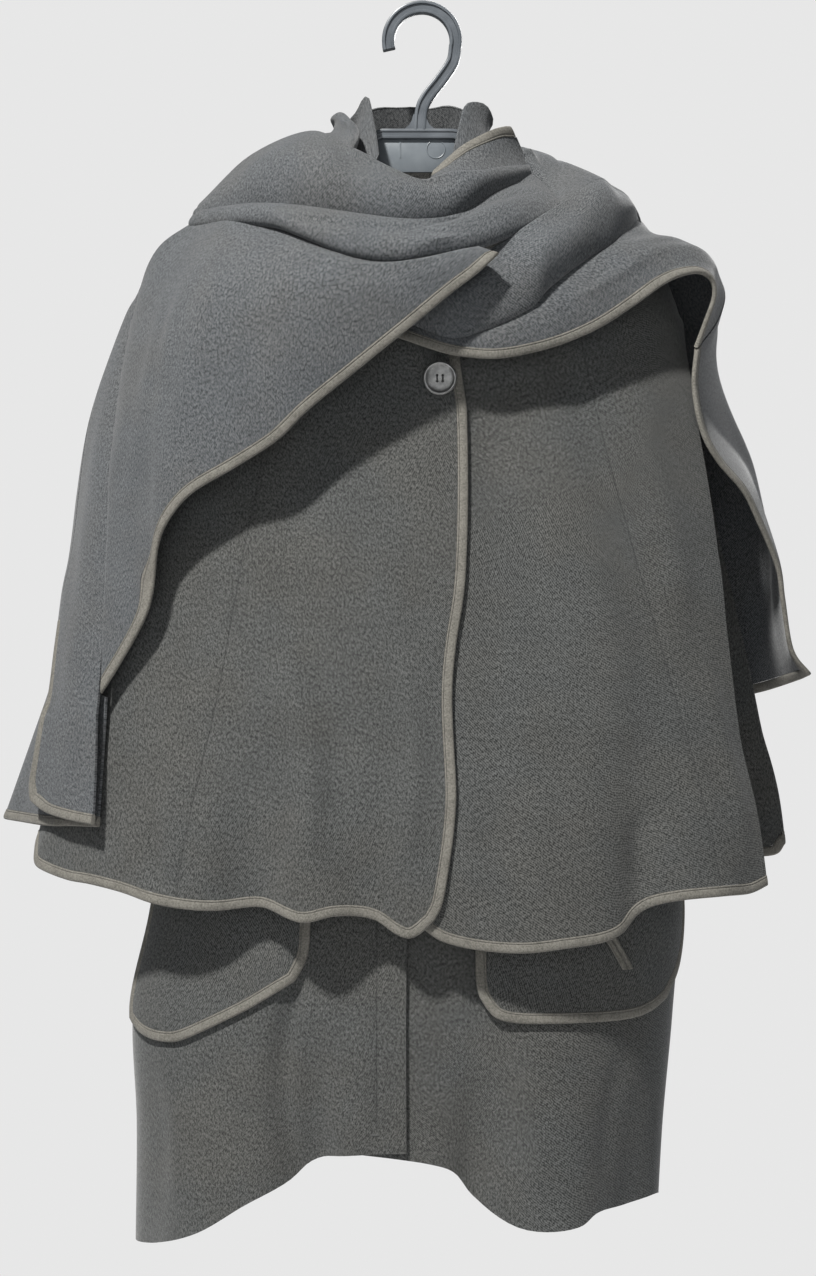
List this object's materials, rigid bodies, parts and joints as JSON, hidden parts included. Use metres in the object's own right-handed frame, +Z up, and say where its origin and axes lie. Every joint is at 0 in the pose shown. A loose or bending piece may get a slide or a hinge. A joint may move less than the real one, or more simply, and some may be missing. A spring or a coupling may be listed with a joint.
{
  "type": "wool cape coat on a plastic hanger",
  "caption": "Long wool coat with a sewn-on cape and a wrapped scarf, all with bound edges, hung on a hooked plastic hanger.",
  "frame": {"origin": "inside top of the hanger's hook, where a rail holds it", "axes": "+Z up, the coat's front faces -Y, and +X is the wearer's left"},
  "size_m": [0.7097, 0.3322, 1.0729],
  "materials": {
    "wool_cloth": "felted mid-grey wool with a fine heather",
    "binding": "taupe binding tape",
    "button": "polished grey horn look",
    "hanger_plastic": "moulded grey plastic"
  },
  "bodies": {
    "root": {"hanger": "hanger_plastic", "coat_back": "wool_cloth", "coat_front_left": "wool_cloth", "coat_front_right": "wool_cloth", "pocket_left": "wool_cloth", "pocket_left_binding": "binding", "pocket_right": "wool_cloth", "pocket_right_binding": "binding", "pocket_welt_lower": "binding", "pocket_welt_upper": "binding", "cape_back": "wool_cloth", "cape_back_binding": "binding", "cape_front_left": "wool_cloth", "cape_front_left_binding": "binding", "cape_front_right": "wool_cloth", "cape_front_right_binding": "binding", "collar_stand": "wool_cloth", "button": "button", "scarf_back_wrap": "wool_cloth", "scarf_left_panel": "wool_cloth", "scarf_left_panel_binding": "binding", "scarf_left_roll": "wool_cloth", "scarf_left_tail": "wool_cloth", "scarf_left_tail_binding": "binding", "scarf_middle_roll": "wool_cloth", "scarf_right_panel": "wool_cloth", "scarf_right_panel_binding": "binding", "scarf_right_tail_back": "wool_cloth", "scarf_right_tail_front": "wool_cloth", "scarf_right_tail_front_binding": "binding", "scarf_right_tail_rear": "wool_cloth", "scarf_right_tail_rear_binding": "binding", "scarf_upper_flap": "wool_cloth", "scarf_upper_flap_binding": "binding", "scarf_upper_wrap": "wool_cloth"}
  },
  "joints": []
}
